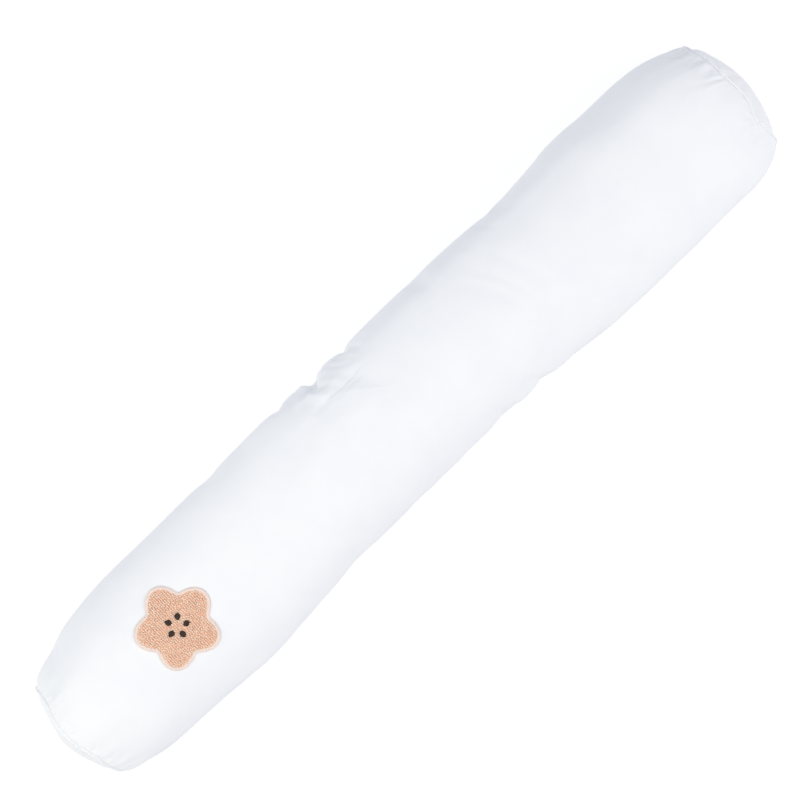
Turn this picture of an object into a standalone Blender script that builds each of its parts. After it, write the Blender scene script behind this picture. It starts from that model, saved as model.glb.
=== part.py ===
"""Baby bolster pillow, lying on its side: a long filled tube of white cotton, closed by a round panel at
each end, with a flower patch sewn on near one end. Metres, +Z up, origin on the floor under its middle.
Run it with blender --background --python part.py, or from the text editor."""

import math

import bmesh
import bpy
from mathutils import Vector

MM = 0.001

# The two rings where the tube's cloth is sewn to the end panels. The filling bows each ring out at its top
# and bottom, and crowns the panel beyond it.
RING_MINUS_X = -453.5 * MM
RING_PLUS_X = 452 * MM
RING_BOW_TOP = {-1: 9.0 * MM, 1: 6.0 * MM}
RING_BOW_BOTTOM = 4 * MM
RING_BOW_POWER = {-1: 6, 1: 2}  # more is a narrower bow
BOW_REACH = 48 * MM
PANEL_CROWN = {-1: 20.0 * MM, 1: 21.5 * MM}
PANEL_POWER = {-1: 1.5, 1: 2.0}  # less is nearer to a cone
PANEL_LEAN = {-1: 0.0, 1: 6 * MM}  # how far the crown's middle is towards +Y
PANEL_THICKNESS = 1.5 * MM

# The filled tube's outline, in millimetres: half widths towards +Y and -Y, height of the crown, and height
# of the underside, which is below 0 where the floor presses it flat
SECTION_COLUMNS = ("station", "plus_y", "minus_y", "crown", "under")
SECTIONS = (
    (-453.5, 55.5, 65.0, 127, 7.0),
    (-446, 61.5, 70.5, 131, 3.5),
    (-434, 66.0, 74.5, 133, 0.5),
    (-416, 71.0, 79.5, 135, -2.5),
    (-396, 78.5, 82.0, 135, -4.0),
    (-346, 84.5, 84.0, 132, -5.0),
    (-286, 86.0, 87.0, 128, -5.0),
    (-226, 86.0, 85.0, 131, -5.0),
    (-166, 86.5, 81.5, 136, -5.0),
    (-116, 86.8, 77.5, 140, -5.0),
    (-66, 86.8, 77.0, 141, -5.0),
    (-16, 85.0, 76.5, 143, -5.0),
    (34, 85.8, 76.5, 142, -5.0),
    (84, 86.0, 75.8, 142, -5.0),
    (134, 84.5, 78.5, 140, -5.0),
    (164, 83.5, 81.5, 138, -5.0),
    (204, 81.3, 85.5, 136, -5.0),
    (244, 83.5, 87.2, 133, -5.0),
    (284, 87.3, 87.3, 128, -5.0),
    (334, 86.4, 87.3, 129, -5.0),
    (384, 85.6, 87.0, 131, -4.5),
    (414, 81.5, 85.8, 132, -3.0),
    (434, 74.5, 81.5, 131, -0.5),
    (445, 69.5, 75.5, 128, 2.5),
    (452, 65.5, 71.5, 124, 6.0),
)
WAIST_SHARE = 0.47  # how far up a section is widest
CROWN_POWER = 2.15  # 2 is an ellipse, and more is squarer
BELLY_POWER = 2.4

# Folds in the tube's cloth, as troughs from one point to another: stations and widths in millimetres, and
# angles in degrees round the tube, from the +Y side (0) over the crown (90) to the -Y side (180)
FOLD_COLUMNS = ("from_x", "from_angle", "to_x", "to_angle", "bow", "width", "depth")
FOLDS = (
    (-47, -34, -45, 38, 3, 8.0, 8.5),
    (-44, 28, 14, 78, -4, 5.5, 2.6),
    (-44, 50, -2, 47, 0, 5.5, 2.4),
    (-50, 82, -4, 80, 0, 7.0, 1.4),
    (-10, -26, 8, 42, 3, 7.0, 4.0),
    (-92, -24, -88, 24, 0, 7.0, 2.6),
    (-192, -28, -186, 26, 0, 9.0, 2.8),
    (96, -10, 103, 50, 2, 11.0, 2.2),
    (122, 44, 170, 96, 6, 6.5, 1.7),
    (140, 36, 186, 98, 6, 6.5, 1.9),
    (160, 30, 202, 102, 6, 6.5, 1.7),
    (200, -20, 204, 30, 0, 14.0, 2.0),
    (-150, 206, -138, 142, 4, 13.0, 2.2),
    (-20, 204, -14, 160, 0, 12.0, 1.6),
    (74, 204, 62, 140, -3, 9.0, 2.4),
    (124, 208, 108, 146, -4, 8.0, 3.2),
    (-300, 204, -292, 164, 0, 14.0, 1.6),
    (-2, -62, -84, -40, 4, 9.0, 3.0),
)

# Gathers where the tube's cloth is eased into each ring: angle round the tube, width along the ring, depth,
# and how far from the ring each is deepest
GATHER_COLUMNS = ("angle", "width", "depth", "reach")
GATHERS_MINUS_X = (
    (6, 6.5, 2.4, 9), (28, 6.0, 2.8, 10), (50, 7.0, 2.6, 11), (74, 6.0, 1.8, 8), (97, 6.5, 1.9, 8),
    (118, 6.0, 2.3, 9), (136, 5.5, 2.6, 9), (154, 6.0, 2.8, 11), (176, 7.0, 2.4, 10), (201, 7.0, 2.6, 9),
    (225, 6.0, 2.4, 8), (249, 7.0, 2.2, 8), (274, 6.5, 2.4, 9), (298, 6.5, 2.6, 9), (322, 7.0, 2.4, 10),
    (344, 6.0, 2.6, 8),
)
GATHERS_PLUS_X = (
    (10, 6.5, 2.2, 8), (30, 6.0, 3.2, 11), (47, 5.5, 2.8, 10), (64, 7.0, 3.0, 11), (88, 7.0, 1.6, 8),
    (110, 6.5, 1.8, 8), (128, 6.0, 2.6, 8), (144, 5.5, 2.6, 8), (163, 7.0, 2.0, 9), (188, 7.0, 2.4, 9),
    (212, 6.5, 2.6, 8), (236, 6.5, 2.4, 9), (260, 7.0, 2.2, 8), (286, 6.5, 2.6, 9), (311, 7.0, 2.4, 9),
    (337, 6.5, 2.6, 8),
)

# How finely the skin is cut into faces
COLUMNS = 64
ROW_STEPS = ((-453.5, 5.5), (-410, 9), (-380, 22), (-210, 20), (-170, 14), (-100, 9), (20, 10), (90, 12),
             (210, 10), (240, 20), (380, 14), (410, 8), (452, 5.5))
PANEL_ROWS = 4

# The seam's lip round each ring, and the seat inside it that the end panel lies on
LIP_RISE = 1.0 * MM
LIP_SHARE = 0.986
SEAT_DROP = 0.6 * MM
SEAT_SHARE = 0.952
PANEL_SHARE = 0.965  # of the seat's size

# The flower patch, its edging and its stitched seeds
GAP = 0.45 * MM
PATCH_X = -308 * MM
PATCH_TURN = math.radians(9)
PETALS = 5
PETAL_REACH = 41 * MM
PETAL_NOTCH = 30 * MM
NOTCH_SOFTNESS = 0.3
PATCH_THICKNESS = 2.4 * MM
PATCH_EDGE_SHARE = 0.4  # how thick the sheet's rounded edge is, of its thickness
PATCH_SEGMENTS = 60
PATCH_RINGS = 12
EDGING_RADIUS = 1.3 * MM
EDGING_POINTS = 90
SEED_RING = 9.5 * MM
SEED_SIZE = (2.7 * MM, 1.9 * MM, 0.8 * MM)
SEED_SEGMENTS = 10
SEED_RINGS = 6

WHITE_COTTON = (0.90, 0.91, 0.93)
TAN_TERRY = (0.78, 0.51, 0.36)
CREAM_THREAD = (0.90, 0.70, 0.58)
BROWN_THREAD = (0.045, 0.028, 0.024)


def smooth_curve(places, values):
    """A function whose curve passes smoothly through the values at these places, and is flat past them."""
    last = len(places) - 1
    slopes = []
    for i in range(last + 1):
        low, high = max(i - 1, 0), min(i + 1, last)
        slopes.append((values[high] - values[low]) / (places[high] - places[low]))

    def value_at(x):
        if x <= places[0]:
            return values[0]
        if x >= places[last]:
            return values[last]
        i = max(k for k in range(last) if places[k] <= x)
        span = places[i + 1] - places[i]
        t = (x - places[i]) / span
        rise = values[i + 1] - values[i]
        start = slopes[i] * span - rise
        end = slopes[i + 1] * span - rise
        return values[i] + t * rise + t * (1 - t) * ((1 - t) * start - t * end)

    return value_at


def column_curve(name):
    """One column of the section table as a smooth curve over the stations, in metres."""
    column = SECTION_COLUMNS.index(name)
    return smooth_curve([row[0] * MM for row in SECTIONS], [row[column] * MM for row in SECTIONS])


PLUS_Y, MINUS_Y, CROWN, UNDER = (column_curve(name) for name in SECTION_COLUMNS[1:])
ROLL_RADIUS = 77 * MM  # turns an angle round the tube into a distance over its cloth


def waist(x):
    """Height at which the section at this station is widest."""
    return UNDER(x) + WAIST_SHARE * (CROWN(x) - UNDER(x))


def section_point(x, angle):
    """(y, z) of the plain skin, before its folds."""
    across, up = math.cos(angle), math.sin(angle)
    half = PLUS_Y(x) if across > 0 else MINUS_Y(x)
    power = CROWN_POWER if up > 0 else BELLY_POWER
    rise = CROWN(x) - waist(x) if up > 0 else waist(x) - UNDER(x)
    y = math.copysign(abs(across) ** (2 / power), across) * half
    z = waist(x) + math.copysign(abs(up) ** (2 / power), up) * rise
    return y, z


def turned_from(angle, degrees):
    """Angle left to turn from a place given in degrees, between minus and plus half a turn."""
    return (angle - math.radians(degrees) + math.pi) % math.tau - math.pi


def fold_depth(x, angle, fold):
    """How far one fold draws the skin in at this place."""
    row = dict(zip(FOLD_COLUMNS, fold))
    along = Vector(((row["to_x"] - row["from_x"]) * MM,
                    math.radians(row["to_angle"] - row["from_angle"]) * ROLL_RADIUS))
    place = Vector((x - row["from_x"] * MM, turned_from(angle, row["from_angle"]) * ROLL_RADIUS))
    share = min(max(place.dot(along) / along.length_squared, 0), 1)
    sideways = Vector((-along.y, along.x)).normalized()
    nearest = along * share + sideways * (row["bow"] * MM * 4 * share * (1 - share))
    away = (place - nearest).length / (row["width"] * MM)
    return row["depth"] * MM * math.sqrt(max(4 * share * (1 - share), 0)) * math.exp(-away * away)


def gather_depth(x, angle, gathers, ring):
    """How far the gathers of one ring draw the skin in at this place."""
    total = 0
    for gather in gathers:
        row = dict(zip(GATHER_COLUMNS, gather))
        away = turned_from(angle, row["angle"]) * abs(waist(ring)) / (row["width"] * MM)
        run = abs(x - ring) / (row["reach"] * MM)
        total += row["depth"] * MM * math.exp(-away * away) * run * math.exp(1 - run)
    return total


def ring_at(side):
    """Station of the ring on this side, and the middle of its opening."""
    x = RING_PLUS_X if side > 0 else RING_MINUS_X
    return x, Vector((x, (PLUS_Y(x) - MINUS_Y(x)) / 2, waist(x)))


def ring_bow(side, angle):
    """How far the filling bows a ring out of its plane at this angle."""
    up = math.sin(angle)
    return (RING_BOW_TOP[side] if up > 0 else RING_BOW_BOTTOM) * abs(up) ** RING_BOW_POWER[side]


def skin_point(x, angle):
    """A point of the folded and gathered skin, in the pillow's frame."""
    y, z = section_point(x, angle)
    depth = sum(fold_depth(x, angle, fold) for fold in FOLDS)
    depth += gather_depth(x, angle, GATHERS_MINUS_X, RING_MINUS_X)
    depth += gather_depth(x, angle, GATHERS_PLUS_X, RING_PLUS_X)
    outward = Vector((0, y, z - waist(x))).normalized()
    place = Vector((x, y, z)) - outward * depth
    for side in (-1, 1):
        run = (x - ring_at(side)[0]) / BOW_REACH
        place.x += side * ring_bow(side, angle) * math.exp(-run * run)
    return place


def panel_point(side, share, angle, rise=0.0):
    """A point of the crowned end, from its middle (share 0) to the seat inside the lip (share 1)."""
    ring, middle = ring_at(side)
    place = middle + (skin_point(ring, angle) - middle) * (SEAT_SHARE * share)
    outer = share ** PANEL_POWER[side]
    out = PANEL_CROWN[side] * (1 - outer) + ring_bow(side, angle) * outer - SEAT_DROP + rise
    return Vector((ring + side * out, place.y + PANEL_LEAN[side] * (1 - outer), place.z))


def lip_point(side, angle):
    """A point on the crest of the seam's lip."""
    ring, middle = ring_at(side)
    rim = skin_point(ring, angle)
    middle.x = rim.x
    place = middle + (rim - middle) * LIP_SHARE
    place.x += side * LIP_RISE
    return place


def stations():
    """Stations of the skin's rows from ring to ring, close where the cloth is folded."""
    spacing = smooth_curve([row[0] * MM for row in ROW_STEPS], [row[1] * MM for row in ROW_STEPS])
    found = [RING_MINUS_X]
    while found[-1] + spacing(found[-1]) < RING_PLUS_X:
        found.append(found[-1] + spacing(found[-1]))
    stretch = (RING_PLUS_X - RING_MINUS_X) / (found[-1] - RING_MINUS_X)
    return [RING_MINUS_X + (x - RING_MINUS_X) * stretch for x in found]


def face_outwards(shape):
    """Turns all faces of a closed shape outwards."""
    bmesh.ops.recalc_face_normals(shape, faces=shape.faces)
    if shape.calc_volume(signed=True) < 0:
        bmesh.ops.reverse_faces(shape, faces=shape.faces)


def reshaped_sphere(name, segments, rings, place):
    """A UV sphere whose points are moved by place(row, angle); row 0 and row rings are its poles."""
    mesh = bpy.data.meshes.new(name)
    shape = bmesh.new()
    bmesh.ops.create_uvsphere(shape, u_segments=segments, v_segments=rings, radius=1)
    for vertex in shape.verts:
        row = round(math.acos(max(-1, min(1, vertex.co.z))) / math.pi * rings)
        vertex.co = place(row, math.atan2(vertex.co.y, vertex.co.x))
    face_outwards(shape)
    shape.to_mesh(mesh)
    shape.free()
    return mesh


def material(name, colour, roughness):
    """A plain cloth or thread finish."""
    made = bpy.data.materials.new(name)
    made.use_nodes = True
    shader = made.node_tree.nodes["Principled BSDF"]
    shader.inputs["Base Color"].default_value = (*colour, 1)
    shader.inputs["Roughness"].default_value = roughness
    shader.inputs["Metallic"].default_value = 0
    return made


def placed(name, data, collection, parent, finish):
    """An object of the pillow, with its finish."""
    piece = bpy.data.objects.new(name, data)
    collection.objects.link(piece)
    piece.parent = parent
    data.materials.append(finish)
    return piece


def cut_flat_on_floor(mesh):
    """Cuts the underside level at the floor, where the pillow's weight presses it flat."""
    shape = bmesh.new()
    shape.from_mesh(mesh)
    geometry = shape.verts[:] + shape.edges[:] + shape.faces[:]
    cut = bmesh.ops.bisect_plane(shape, geom=geometry, plane_co=(0, 0, 0), plane_no=(0, 0, -1),
                                 clear_outer=True)
    rim = [item for item in cut["geom_cut"] if isinstance(item, bmesh.types.BMEdge)]
    bmesh.ops.contextual_create(shape, geom=rim)
    face_outwards(shape)
    shape.to_mesh(mesh)
    shape.free()


def make_body(collection, parent, finish):
    """The filled tube, with its seam lips and the crowned ends that carry the end panels."""
    rows = [("panel", -1, k / PANEL_ROWS) for k in range(PANEL_ROWS + 1)]
    rows.append(("lip", -1, 0))
    rows += [("skin", x, 0) for x in stations()]
    rows.append(("lip", 1, 0))
    rows += [("panel", 1, k / PANEL_ROWS) for k in range(PANEL_ROWS, -1, -1)]

    def place(row, angle):
        kind, where, share = rows[row]
        if kind == "panel":
            return panel_point(where, share, angle)
        if kind == "lip":
            return lip_point(where, angle)
        return skin_point(where, angle)

    mesh = reshaped_sphere("bolster_body", COLUMNS, len(rows) - 1, place)
    cut_flat_on_floor(mesh)
    body = placed("bolster_body", mesh, collection, parent, finish)
    mesh.shade_smooth()
    return body


def make_end_panel(name, side, collection, parent, finish):
    """The round panel sewn inside one ring: a crowned sheet of cloth on the filling."""
    rings = 2 * PANEL_ROWS + 1

    def place(row, angle):
        if row <= PANEL_ROWS:
            return panel_point(side, PANEL_SHARE * row / PANEL_ROWS, angle, GAP + PANEL_THICKNESS)
        return panel_point(side, PANEL_SHARE * (rings - row) / PANEL_ROWS, angle, GAP)

    mesh = reshaped_sphere(name, COLUMNS, rings, place)
    mesh.shade_smooth()
    return placed(name, mesh, collection, parent, finish)


def crown_height(x, y):
    """Height of the plain skin over a point of the floor plan."""
    half = PLUS_Y(x) if y > 0 else MINUS_Y(x)
    rise = CROWN(x) - waist(x)
    return waist(x) + rise * (1 - (abs(y) / half) ** CROWN_POWER) ** (1 / CROWN_POWER)


def on_crown(x, y, height):
    """A point this far above the skin, square to it, over a point of the floor plan."""
    step = 1 * MM
    slope_x = (crown_height(x + step, y) - crown_height(x - step, y)) / (2 * step)
    slope_y = (crown_height(x, y + step) - crown_height(x, y - step)) / (2 * step)
    return Vector((x, y, crown_height(x, y))) + Vector((-slope_x, -slope_y, 1)).normalized() * height


def petal_radius(angle):
    """Distance of the patch's edge from its middle."""
    wave = math.sqrt(math.cos(PETALS * (angle - PATCH_TURN) / 2) ** 2 + NOTCH_SOFTNESS)
    low, high = math.sqrt(NOTCH_SOFTNESS), math.sqrt(1 + NOTCH_SOFTNESS)
    return PETAL_NOTCH + (PETAL_REACH - PETAL_NOTCH) * (wave - low) / (high - low)


def petal_edge(angle, outside=0.0):
    """(x, y) of the patch's edge, or of a line this far outside it."""
    def edge(a):
        return Vector((math.cos(a), math.sin(a))) * petal_radius(a)

    step = 0.001
    along = (edge(angle + step) - edge(angle - step)).normalized()
    place = edge(angle) + Vector((along.y, -along.x)) * outside
    return PATCH_X + place.x, place.y


def make_patch(collection, parent, finish):
    """The terry flower, a thin sheet that follows the crown and is rounded at its edge."""
    def place(row, angle):
        share = math.sin(math.pi * row / PATCH_RINGS)
        x, y = petal_edge(angle)
        x, y = PATCH_X + (x - PATCH_X) * share, y * share
        if row > PATCH_RINGS / 2:
            return on_crown(x, y, GAP)
        fullness = PATCH_EDGE_SHARE + (1 - PATCH_EDGE_SHARE) * math.sqrt(max(1 - share**4, 0))
        return on_crown(x, y, GAP + PATCH_THICKNESS * fullness)

    mesh = reshaped_sphere("flower_patch", PATCH_SEGMENTS, PATCH_RINGS, place)
    return placed("flower_patch", mesh, collection, parent, finish)


def make_edging(collection, parent, finish):
    """The satin-stitched cord that holds the patch down all round."""
    curve = bpy.data.curves.new("patch_edging", "CURVE")
    curve.dimensions = "3D"
    curve.bevel_depth = EDGING_RADIUS
    curve.bevel_resolution = 2
    line = curve.splines.new("POLY")
    line.points.add(EDGING_POINTS - 1)
    line.use_cyclic_u = True
    for k, point in enumerate(line.points):
        x, y = petal_edge(math.tau * k / EDGING_POINTS, GAP + EDGING_RADIUS)
        point.co = (*on_crown(x, y, GAP + EDGING_RADIUS), 1)
    return placed("patch_edging", curve, collection, parent, finish)


def make_seed(number, collection, parent, finish):
    """One stitched seed of the ring in the flower's middle."""
    angle = PATCH_TURN + math.tau * (number - 0.5) / PETALS
    x = PATCH_X + SEED_RING * math.cos(angle)
    y = SEED_RING * math.sin(angle)
    height = GAP + PATCH_THICKNESS + GAP + SEED_SIZE[2]
    foot = on_crown(x, y, 0)
    up = (on_crown(x, y, height) - foot).normalized()

    def place(row, turn):
        dip = math.pi * row / SEED_RINGS
        return Vector((SEED_SIZE[0] * math.sin(dip) * math.cos(turn),
                       SEED_SIZE[1] * math.sin(dip) * math.sin(turn), SEED_SIZE[2] * math.cos(dip)))

    name = f"stitched_seed_{number}"
    mesh = reshaped_sphere(name, SEED_SEGMENTS, SEED_RINGS, place)
    seed = placed(name, mesh, collection, parent, finish)
    seed.location = on_crown(x, y, height)
    tilt = Vector((0, 0, 1)).rotation_difference(up).to_matrix().to_4x4()
    seed.rotation_mode = "QUATERNION"
    seed.rotation_quaternion = tilt.to_quaternion() @ Vector((1, 0, 0)).rotation_difference(
        Vector((math.cos(angle), math.sin(angle), 0)))
    return seed


def centre_on_origin(parent, outer):
    """Moves the carrying empty so that the middle of its outermost pieces is over the origin."""
    points = [vertex.co for piece in outer for vertex in piece.data.vertices]
    for axis in (0, 1):
        low = min(point[axis] for point in points)
        high = max(point[axis] for point in points)
        parent.location[axis] = -(low + high) / 2


def main():
    for old in list(bpy.data.objects):
        bpy.data.objects.remove(old)
    pieces = bpy.data.collections.new("baby_bolster_pillow")
    bpy.context.scene.collection.children.link(pieces)
    pillow = bpy.data.objects.new("pillow", None)
    pieces.objects.link(pillow)
    cotton = material("white_cotton", WHITE_COTTON, 0.85)
    terry = material("tan_terry", TAN_TERRY, 0.95)
    cream = material("cream_thread", CREAM_THREAD, 0.6)
    brown = material("brown_thread", BROWN_THREAD, 0.55)
    outer = [make_body(pieces, pillow, cotton)]
    outer.append(make_end_panel("end_panel_left", -1, pieces, pillow, cotton))
    outer.append(make_end_panel("end_panel_right", 1, pieces, pillow, cotton))
    make_patch(pieces, pillow, terry)
    make_edging(pieces, pillow, cream)
    for number in range(1, PETALS + 1):
        make_seed(number, pieces, pillow, brown)
    centre_on_origin(pillow, outer)


main()
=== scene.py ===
"""Looks of the baby bolster pillow: a white cotton tube with gathered ends and creases, round end
panels, a terry flower patch with a satin-stitched edge, and soft light from three sides over a pale floor."""

import math

import bpy
import numpy as np
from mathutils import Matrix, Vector
from mathutils.bvhtree import BVHTree


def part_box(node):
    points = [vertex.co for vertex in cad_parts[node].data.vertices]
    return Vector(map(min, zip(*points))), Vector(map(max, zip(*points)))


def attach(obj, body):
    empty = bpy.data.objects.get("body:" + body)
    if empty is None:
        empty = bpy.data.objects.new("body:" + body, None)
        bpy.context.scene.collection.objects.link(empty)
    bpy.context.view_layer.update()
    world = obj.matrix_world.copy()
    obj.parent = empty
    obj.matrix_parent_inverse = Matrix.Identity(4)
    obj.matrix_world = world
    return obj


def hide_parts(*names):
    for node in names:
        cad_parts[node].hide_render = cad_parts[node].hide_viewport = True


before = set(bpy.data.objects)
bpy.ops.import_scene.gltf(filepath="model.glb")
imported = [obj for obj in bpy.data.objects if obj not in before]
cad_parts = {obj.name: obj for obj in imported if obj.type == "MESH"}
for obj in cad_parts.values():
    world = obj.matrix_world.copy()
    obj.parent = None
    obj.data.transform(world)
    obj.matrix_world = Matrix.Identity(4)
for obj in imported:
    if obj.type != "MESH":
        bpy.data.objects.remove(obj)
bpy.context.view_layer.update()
rng = np.random.default_rng(7)

MM = 0.001

# The photograph's frame: the long axis climbs to the right, and 800 pixels are 800 mm at the waist's height
PHOTO_PIXELS = 800
PIXEL = 1.0 * MM
AXIS_TURN = math.radians(-44.07)
ORIGIN_PIXEL = (401.51, 408.88)
CAMERA_HEIGHT = 5.0
WAIST_HEIGHT = 64 * MM

# The tube's grid of cloth, closer where the cloth is gathered, creased or seamed. Angles go round the tube from the
# +Y side (0) over the crown (90).
COLUMNS = 272
COLUMN_DEGREES = (-180, -160, -30, -20, 0, 80, 100, 175, 180)
COLUMN_FINENESS = (0.55, 0.42, 0.42, 0.8, 1.2, 1.2, 0.85, 0.8, 0.55)
SEAM_DEGREES = -14
SEAM_FINENESS = 1.6
SEAM_SPREAD = 2.2
ROW_PLACES = (-460, -405, -380, -130, -105, -70, 20, 40, 210, 250, 380, 410, 460)
ROW_STEPS = (1.1, 1.8, 6.0, 6.0, 3.0, 1.6, 1.6, 2.6, 3.0, 6.0, 5.0, 1.8, 1.1)
SAMPLE_STEP = 2 * MM

# How far out search rays start, the rows and columns that blur what they find, and the cloth's gap to the floor
RAY_START = 0.3
SKIN_BLUR = (2.6, 1.8)
FLOOR_GAP = 0.4 * MM

# The seam of each ring, as degrees round the tube and station, its blur in columns, and how far inside it the tube's
# cloth ends. Over the last EDGE_FADE the creases fade to EDGE_SHARE of their depth.
RING_BLUR = 1.6
RING_INSET = 1.2 * MM
EDGE_FADE = 3 * MM
EDGE_SHARE = 0.15
RING_LINE_MINUS_X = (
    (0, -454), (20, -454.8), (38, -453.6), (47, -453.4), (58, -454.9), (71, -459.7), (83, -462.1), (95, -461.9),
    (107, -460.9), (118, -457.8), (125, -455.8), (135, -455.6), (145, -454.6), (155, -453.8), (168, -451.6),
    (180, -449.4), (205, -449.4), (235, -452), (270, -457.5), (315, -455),
)
RING_LINE_PLUS_X = (
    (0, 453), (20, 453.6), (33, 455), (44, 456.6), (54, 457.6), (63, 458.2), (74, 456.9), (80, 457.6),
    (87, 458.2), (99, 458.7), (106, 457.9), (112, 456.3), (118, 453), (123, 450.8), (127, 450.5),
    (132, 452.1), (140, 452.7), (153, 453.4), (180, 453.5), (225, 452.5), (270, 456), (315, 453),
)

# Excess cloth eased into each ring by a simulation. Its movement, blurred over these rows and columns, is taken off
# again, so that only the wrinkles stay.
EASE_ROWS = 48
EASE_STEP = 2.2 * MM
EASE_SHARE = 0.07
EASE_REACH = 20 * MM
EASE_FRAMES = 22
EASE_CAP = {-1: 0.7 * MM, 1: 0.8 * MM}
EASE_GAIN = {-1: 0.6, 1: 0.42}
EASE_FADE = 50 * MM
EASE_FADE_POWER = 0.7
EASE_HELD_ROWS = 3
EASE_BLUR = (6, 12)

# Small waves that start the gathers: how many go round a ring, their height in millimetres, and their reach
GATHER_COUNTS = range(16, 40)
GATHER_HEIGHT = 0.1
GATHER_REACH = 26 * MM

# Creases, in millimetres: from one station and girth to another, bow, width, depth (negative for a ridge), and 1 for
# a keen crease, which is LEE_WIDENING times wider on its far side. Girth is the distance over the cloth from the
# crown line, towards +Y.
LEE_WIDENING = 3.5
CREASES = (
    # the pinch in the +Y side, and what runs out of it
    (-44, 150, -44, 96, 0, 4, 3.2, 0),
    (-44, 108, -52, 87, 1, 4.8, 3.4, 0),
    (-140, 102, -76, 100, 0, 14, -2.2, 0),
    (-78, 88, -52, 82, 0, 7, -1.3, 0),
    (-42, 103, -13, 102, 0, 8, -2, 0),
    (-59, 142, -54, 100, 0, 5, -3.2, 0),
    (-59, 87, -44, 62, 0, 6, -2.6, 1),
    (-47, 100, -16, 58, 0, 5, -1.8, 0),
    (-68, 60, -44, 61, 0, 5.2, 1.2, 0),
    (-66, 51, -36, 48, 0, 9, 0.8, 0),
    (-47, 62, 2, 62, -1, 1.5, 0.9, 1),
    (-42, 69, -8, 69, 0, 5, 0.5, 0),
    (-27, 113, -4, 73, -3, 3.6, 1.1, 0),
    (-3, 150, -2, 99, 0, 3.2, 2, 0),
    (2, 110, 14, 80, 2, 4.2, 1.5, 0),
    (-8, 104, 7, 75, 1, 4, -1.2, 0),
    (10, 112, 24, 82, 2, 6, 0.7, 0),
    (-30, 124, -2, 120, 0, 7, -1.6, 0),
    (-38, 62, 16, 18, 0, 1.9, -0.34, 0),
    (-44, 51, -24, 35, 0, 8, 0.5, 0),
    (-54, 57, -48, 39, 0, 5, 0.35, 0),
    (-46, 13, -21, 13, 0, 2.2, 0.16, 0),
    (-108, 53, -56, 50, 2, 6, 0.5, 0),
    (-90, 150, -90, 100, 0, 4.5, 1.8, 0),
    # the fuller flank between the pinch and the right end
    (-30, 80, 250, 76, 0, 16, -1.8, 0),
    (192, 92, 212, 130, 0, 8, -1.5, 0),
    (190, 74, 330, 74, 0, 12, -1.3, 0),
    # the steeper shoulder at the right end, and the outline by it
    (300, 56, 440, 56, 0, 22, -2.2, 0),
    (318, 112, 446, 106, 0, 16, 0.8, 0),
    (268, 116, 326, 114, 0, 14, -1.4, 0),
    (-466, 96, -424, 102, 0, 9, -1.3, 0),
    # the soft drag lines right of the middle
    (96, 128, 99, 72, 2, 8, 0.9, 0),
    (60, 96, 112, 88, 0, 12, 0.8, 0),
    (171, 97, 189, 66, 0, 1.8, -0.4, 0),
    (177, 97, 195, 66, 0, 4, 0.5, 0),
    (121, 64, 167, -20, 8, 4, -0.32, 0),
    (127, 54, 154, -8, 6, 4.2, 0.34, 0),
    (147, 54, 175, -27, 4, 4.2, 0.4, 0),
    (163, 50, 180, -20, 3, 3.8, -0.28, 0),
    (169, 58, 197, -20, 3, 4.2, 0.34, 0),
    (187, 32, 202, -8, 2, 4, -0.22, 0),
    (214, 12, 218, -20, 0, 4, 0.22, 0),
    # fuller places and hollows along the -Y side
    (-318, -110, -228, -110, 0, 20, -2, 0),
    (-470, -98, -424, -102, 0, 10, -1.7, 0),
    (-116, -120, -58, -120, 0, 13, -1.2, 0),
    (-40, -114, 14, -114, 0, 13, -2, 0),
    (86, -104, 120, -104, 0, 13, -3.9, 0),
    (130, -108, 160, -108, 0, 12, -2.2, 0),
    (388, -108, 452, -100, 0, 12, -2.8, 0),
    (244, -112, 296, -112, 0, 18, -1.6, 0),
    (-160, -52, -150, -76, 0, 6, 0.5, 0),
    (-111, -48, -91, -70, 0, 5, 0.45, 0),
    (-204, -64, -190, -98, 2, 9, 0.9, 0),
    (-114, -86, -90, -86, 0, 7, 0.6, 0),
    (54, -46, 72, -92, 2, 5.5, 0.8, 0),
    (71, -84, 70, -124, 0, 5, 1.6, 0),
    (104, -70, 122, -112, 2, 6, 1.1, 0),
    (121, -100, 121, -132, 0, 5, 1.1, 0),
)

# How steeply a keen crease falls to its bottom, and how round that is. Beside a keen crease or a pucker the cloth
# stands fuller: height as a share of the depth, place in widths, and narrowness. A pucker's width starts at the
# first of PUCKER_WIDTHS and gains the second.
CREASE_FALL = 2
CREASE_ROUNDING = 0.1
CREASE_SHOULDER = (0.22, 1.6, 2)
PUCKER_SHOULDER = (0.3, 1.7, 1.5)
PUCKER_WIDTHS = (0.7, 0.8)

# Where the flank on the +Y side hangs lower than the solid's, or higher: station, reach along the tube, and how
# far down. The flank starts at SAG_START from the middle, is in full after SAG_SPAN more, and fades below SAG_FOOT.
SAGS = ((-418, 45, 5.0), (-112, 42, -3.5), (60, 170, -3.0), (388, 75, 7.0))
SAG_START = 36
SAG_SPAN = 46
SAG_FOOT = 45

# Slight unevenness of the filling and the cloth: how many waves, their lengths in millimetres, their spread of
# direction, and their height at the usual length
WAVES = 26
WAVE_LENGTHS = (45, 170)
WAVE_TURN = 0.9
WAVE_USUAL_LENGTH = 110
WAVE_HEIGHT = 0.09

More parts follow.
